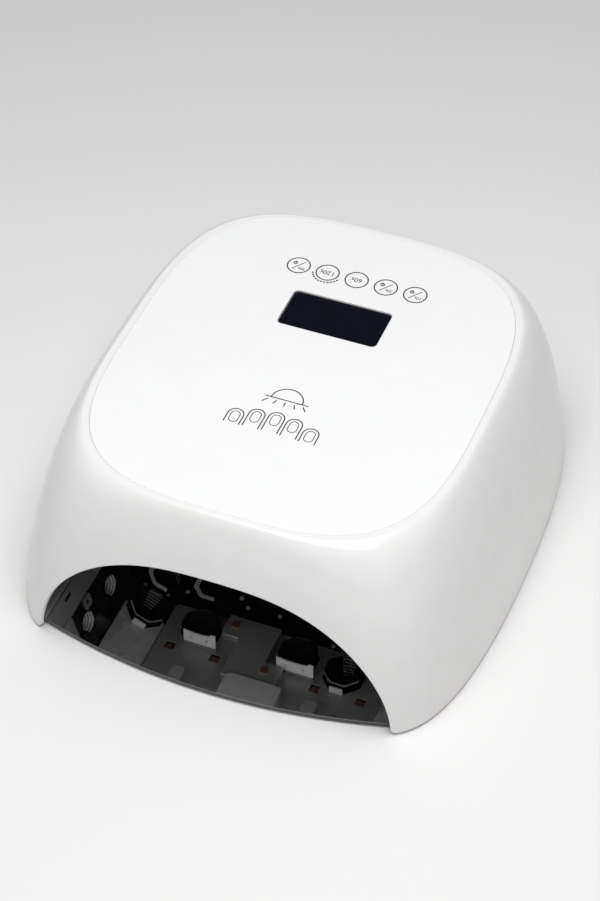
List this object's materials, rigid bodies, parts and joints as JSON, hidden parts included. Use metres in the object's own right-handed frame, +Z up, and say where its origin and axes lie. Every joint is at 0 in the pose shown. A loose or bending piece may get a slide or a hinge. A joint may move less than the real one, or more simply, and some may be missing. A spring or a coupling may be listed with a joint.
{
  "type": "uv curing lamp",
  "caption": "Domed white table-top curing lamp with an arched front opening, a flush face plate with a dark display window, and a mirror tray that pulls out of the hand chamber.",
  "frame": {"origin": "middle of the lamp's footprint, on the table that its feet rest on", "axes": "+Z up, +X across the lamp to the right as seen from above with the opening at the bottom, the open front faces -Y"},
  "size_m": [0.224, 0.2374, 0.0937],
  "materials": {
    "shell_white": "glossy white moulding",
    "plate_white": "glossy white, very smooth",
    "display_glass": "clear near-black window",
    "black_plastic": "satin black",
    "tray_mirror": "dark polished mirror",
    "liner_metallised": "dark metallised plastic",
    "cup_chrome": "bright metallised plastic",
    "led": "amber lens on a white chip",
    "circuit_board": "green solder mask",
    "steel": "plated steel",
    "rubber": "matt black",
    "wire": "insulated lead"
  },
  "bodies": {
    "lamp": {"outer_shell": "shell_white", "face_plate": "plate_white", "display_window": "display_glass", "display_module": "black_plastic", "base_frame": "black_plastic", "dc_socket": "black_plastic", "reflector_liner": "liner_metallised", "centre_panel": "liner_metallised", "roof_cup_1": "cup_chrome", "roof_cup_2": "cup_chrome", "roof_cup_3": "cup_chrome", "slope_cup_left": "cup_chrome", "slope_cup_right": "cup_chrome", "side_cup_left_1": "cup_chrome", "side_cup_left_2": "cup_chrome", "side_cup_right_1": "cup_chrome", "side_cup_right_2": "cup_chrome", "roof_led_1": "led", "roof_led_2": "led", "roof_led_3": "led", "slope_led_left": "led", "slope_led_right": "led", "side_led_left_1": "led", "side_led_left_2": "led", "side_led_right_1": "led", "side_led_right_2": "led", "panel_led_1": "led", "panel_led_2": "led", "control_board": "circuit_board", "front_led_board": "circuit_board", "hand_sensor": "circuit_board", "power_board": "circuit_board", "touch_spring_1": "steel", "touch_spring_2": "steel", "touch_spring_3": "steel", "touch_spring_4": "steel", "touch_spring_5": "steel", "board_screw_1": "steel", "board_screw_2": "steel", "liner_screw_1": "steel", "liner_screw_2": "steel", "base_screw_1": "steel", "base_screw_2": "steel", "base_screw_3": "steel", "base_screw_4": "steel", "tray_magnet_left": "steel", "tray_magnet_right": "steel", "rubber_foot_front_left": "rubber", "rubber_foot_front_right": "rubber", "rubber_foot_rear_left": "rubber", "rubber_foot_rear_right": "rubber", "power_lead": "wire", "main_harness": "wire"},
    "tray": {"mirror_tray": "tray_mirror", "tray_pad_left": "rubber", "tray_pad_right": "rubber"}
  },
  "joints": [
    {"name": "tray_slide", "type": "slide", "parent": "lamp", "child": "tray", "axis": [0, -1, 0], "range_m": [0, 0.22]}
  ]
}
